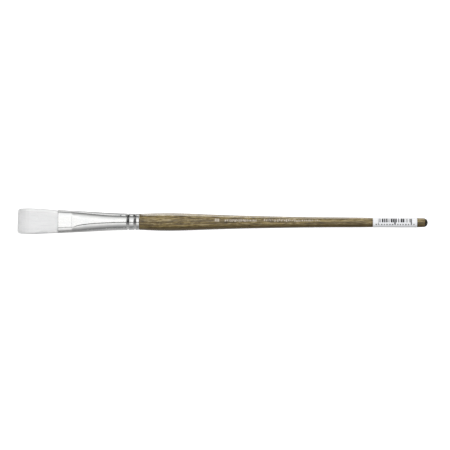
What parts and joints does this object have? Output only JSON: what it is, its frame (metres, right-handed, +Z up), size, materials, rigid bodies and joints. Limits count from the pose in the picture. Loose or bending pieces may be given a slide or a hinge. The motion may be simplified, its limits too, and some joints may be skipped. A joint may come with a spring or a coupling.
{
  "type": "paint brush",
  "caption": "Long-handled flat artist's brush: white synthetic filament tuft that flexes, flattened and crimped metal ferrule, turned wooden handle and price label.",
  "frame": {"origin": "bottom centre of the brush's box, on the surface that the belly of the handle rests on", "axes": "+X from the tip of the tuft to the tail of the handle, +Y across the width of the flat head, +Z up out of the head's flat side"},
  "size_m": [0.3364, 0.021, 0.0146],
  "materials": {
    "filament_tuft": "fine white synthetic filament, faintly glossy along its length",
    "filament_roots": "packed white synthetic filament",
    "tie_thread": "waxed thread",
    "root_cement": "set epoxy",
    "ferrule": "bright nickel plate on brass, with faint drawing lines",
    "tenon_glue": "set glue",
    "handle": "open-grained grey-brown hardwood under satin lacquer",
    "barcode_label": "smooth white self-adhesive label with dark bars"
  },
  "bodies": {
    "brush": {"handle": "handle", "ferrule": "ferrule", "filament_roots": "filament_roots", "tie_thread": "tie_thread", "root_cement": "root_cement", "tenon_glue": "tenon_glue", "barcode_label": "barcode_label"},
    "tuft": {"filament_tuft": "filament_tuft"}
  },
  "joints": [
    {"name": "tuft_flex", "type": "hinge", "parent": "brush", "child": "tuft", "pos_m": [-0.1383, 0, 0.0073], "axis": [0, 1, 0], "range_deg": [-45, 45], "stiffness_Nm_per_rad": 0.04}
  ]
}
